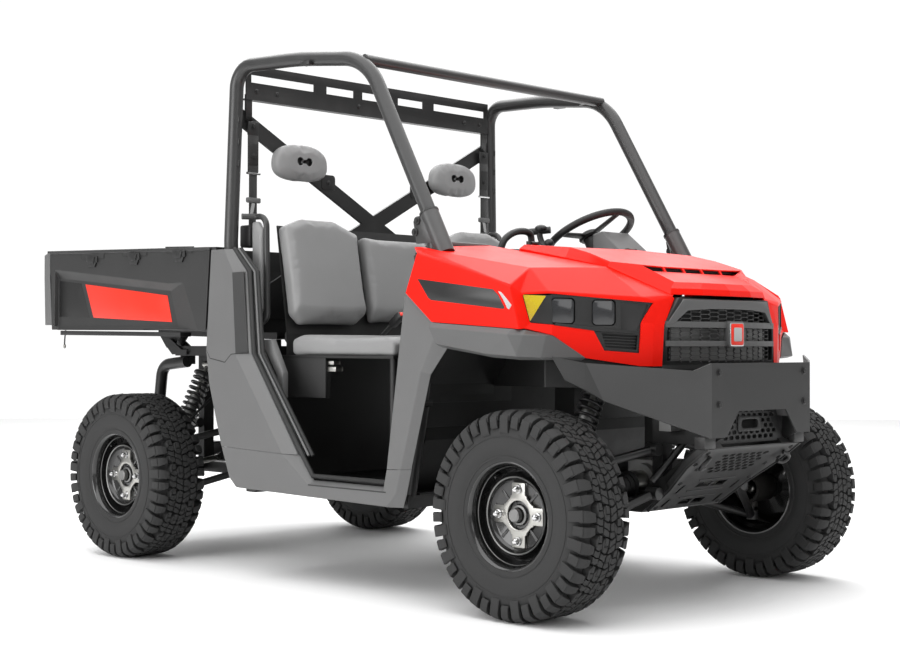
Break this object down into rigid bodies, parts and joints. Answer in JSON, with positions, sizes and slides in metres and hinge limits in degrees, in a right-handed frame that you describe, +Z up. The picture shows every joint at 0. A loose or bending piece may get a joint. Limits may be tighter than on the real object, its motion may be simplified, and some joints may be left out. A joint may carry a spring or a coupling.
{
  "type": "side-by-side utility vehicle",
  "caption": "Open-cab side-by-side utility vehicle with bench seat, tubular roll cage, tipping cargo bed, coil-over suspension and knobby tyres.",
  "frame": {"origin": "on the ground under the middle of the vehicle's length and width", "axes": "+Z up, the vehicle faces -Y, its left side is +X"},
  "size_m": [1.514, 3.048, 1.8591],
  "materials": {
    "frame_black": "satin powder coat",
    "cage_black": "satin powder coat",
    "bumper_grey": "textured powder coat",
    "body_red": "gloss",
    "panel_grey": "fine grain",
    "trim_black": "fine grain",
    "lamp": "smoked lens",
    "tail_lamp": "lens",
    "bed_charcoal": "moulded grain",
    "vinyl_grey": "soft vinyl",
    "webbing": "woven",
    "tyre_rubber": "matte",
    "rim_black": "gloss",
    "bare_steel": "satin",
    "cast": "as cast",
    "alloy": "cast",
    "rubber_black": "matte"
  },
  "bodies": {
    "chassis": {"frame": "frame_black", "skid_plate": "frame_black", "bumper": "bumper_grey", "radiator": "alloy", "engine": "cast", "exhaust": "bare_steel", "differentials": "alloy", "half_shafts": "bare_steel", "steering_rack": "alloy", "front_fenders": "body_red", "grille": "trim_black", "headlights": "lamp", "arch_flares": "panel_grey", "pillar_panels": "panel_grey", "rockers": "panel_grey", "quarter_panels": "panel_grey", "floor_pan": "trim_black", "dashboard": "trim_black", "seat_base": "frame_black", "seat_cushion": "vinyl_grey", "seat_backs": "vinyl_grey", "headrests": "vinyl_grey", "bolster_pads": "vinyl_grey", "roll_cage": "cage_black", "cage_brace": "cage_black", "seat_belts": "webbing", "front_arms": "frame_black", "rear_arms": "frame_black", "rear_uprights": "cast", "shocks": "bare_steel", "springs": "frame_black"},
    "hood": {"hood": "body_red"},
    "steering_wheel": {"steering_wheel": "rubber_black"},
    "bed": {"cargo_bed": "bed_charcoal", "tail_lights": "tail_lamp"},
    "tailgate": {"tailgate": "bed_charcoal"},
    "knuckle_left": {"knuckle_left": "cast"},
    "knuckle_right": {"knuckle_right": "cast"},
    "tie_rod_left": {"tie_rod_left": "bare_steel"},
    "tie_rod_right": {"tie_rod_right": "bare_steel"},
    "wheel_front_left": {"tyre_front_left": "tyre_rubber", "rim_front_left": "rim_black"},
    "wheel_front_right": {"tyre_front_right": "tyre_rubber", "rim_front_right": "rim_black"},
    "wheel_rear_left": {"tyre_rear_left": "tyre_rubber", "rim_rear_left": "rim_black"},
    "wheel_rear_right": {"tyre_rear_right": "tyre_rubber", "rim_rear_right": "rim_black"}
  },
  "joints": [
    {"name": "steer_left", "type": "hinge", "parent": "chassis", "child": "knuckle_left", "pos_m": [0.56, -1.116, 0.317], "axis": [0, 0, 1], "range_deg": [-28, 28]},
    {"name": "tie_rod_pivot_left", "type": "hinge", "parent": "knuckle_left", "child": "tie_rod_left", "pos_m": [0.56, -1.006, 0.3695], "axis": [0, 0, 1], "range_deg": [-28, 28]},
    {"name": "roll_front_left", "type": "hinge", "parent": "knuckle_left", "child": "wheel_front_left", "pos_m": [0.646, -1.116, 0.317], "axis": [1, 0, 0], "continuous": true},
    {"name": "roll_rear_left", "type": "hinge", "parent": "chassis", "child": "wheel_rear_left", "pos_m": [0.646, 0.941, 0.317], "axis": [1, 0, 0], "continuous": true},
    {"name": "steer_right", "type": "hinge", "parent": "chassis", "child": "knuckle_right", "pos_m": [-0.56, -1.116, 0.317], "axis": [0, 0, 1], "range_deg": [-28, 28]},
    {"name": "tie_rod_pivot_right", "type": "hinge", "parent": "knuckle_right", "child": "tie_rod_right", "pos_m": [-0.56, -1.006, 0.3695], "axis": [0, 0, 1], "range_deg": [-28, 28]},
    {"name": "roll_front_right", "type": "hinge", "parent": "knuckle_right", "child": "wheel_front_right", "pos_m": [-0.646, -1.116, 0.317], "axis": [1, 0, 0], "continuous": true},
    {"name": "roll_rear_right", "type": "hinge", "parent": "chassis", "child": "wheel_rear_right", "pos_m": [-0.646, 0.941, 0.317], "axis": [1, 0, 0], "continuous": true},
    {"name": "steering_wheel_turn", "type": "hinge", "parent": "chassis", "child": "steering_wheel", "pos_m": [0.39, -0.504, 1.236], "axis": [0, 0.5, 0.866], "range_deg": [-252, 252]},
    {"name": "hood_lift", "type": "hinge", "parent": "chassis", "child": "hood", "pos_m": [0, -0.801, 1.166], "axis": [-1, 0, 0], "range_deg": [0, 55]},
    {"name": "bed_tilt", "type": "hinge", "parent": "chassis", "child": "bed", "pos_m": [0, 1.134, 0.83], "axis": [-1, 0, 0], "range_deg": [0, 40]},
    {"name": "tailgate_drop", "type": "hinge", "parent": "bed", "child": "tailgate", "pos_m": [0, 1.48525, 0.91526], "axis": [-1, 0, 0], "range_deg": [0, 90]}
  ],
  "couplings": [
    {"joint": "steer_right", "follows": "steer_left", "ratio": 1},
    {"joint": "tie_rod_pivot_left", "follows": "steer_left", "ratio": -1},
    {"joint": "tie_rod_pivot_right", "follows": "steer_left", "ratio": -1},
    {"joint": "steering_wheel_turn", "follows": "steer_left", "ratio": 9}
  ]
}
